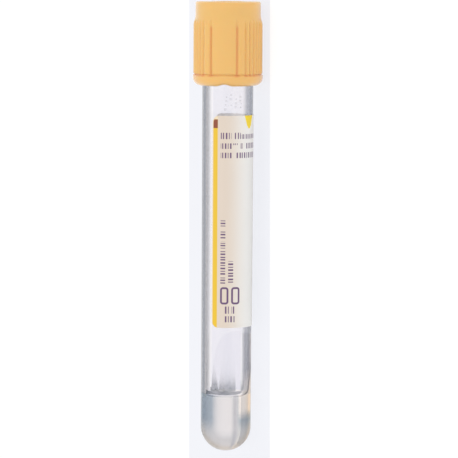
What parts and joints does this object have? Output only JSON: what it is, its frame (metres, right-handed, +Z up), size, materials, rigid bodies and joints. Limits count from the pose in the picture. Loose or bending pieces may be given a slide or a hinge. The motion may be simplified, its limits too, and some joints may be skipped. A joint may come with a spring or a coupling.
{
  "type": "blood collection tube",
  "caption": "Clear round-bottomed blood collection tube with separator gel, a wrapped paper label and a pull-off closure: a rubber stopper in a lobed plastic shield.",
  "frame": {"origin": "middle of the footprint, on the surface that the tube lies on", "axes": "+Z up; +Y along the tube, from its round foot to its closure, with the axis leaning up by 1.6 degrees because the closure is wider than the tube"},
  "size_m": [0.0166, 0.1074, 0.0168],
  "materials": {
    "clear_plastic": "gloss",
    "clear_gel": "satin",
    "dried_spray": "matte",
    "label_paper": "matte",
    "stopper_rubber": "matte",
    "gold_plastic": "satin"
  },
  "bodies": {
    "vial": {"tube": "clear_plastic", "separator_gel": "clear_gel", "clot_activator": "dried_spray", "label": "label_paper"},
    "closure": {"stopper": "stopper_rubber", "closure_shield": "gold_plastic"}
  },
  "joints": [
    {"name": "closure_pull", "type": "slide", "parent": "vial", "child": "closure", "axis": [0, 0.9996, 0.0276], "range_m": [0, 0.03]}
  ]
}
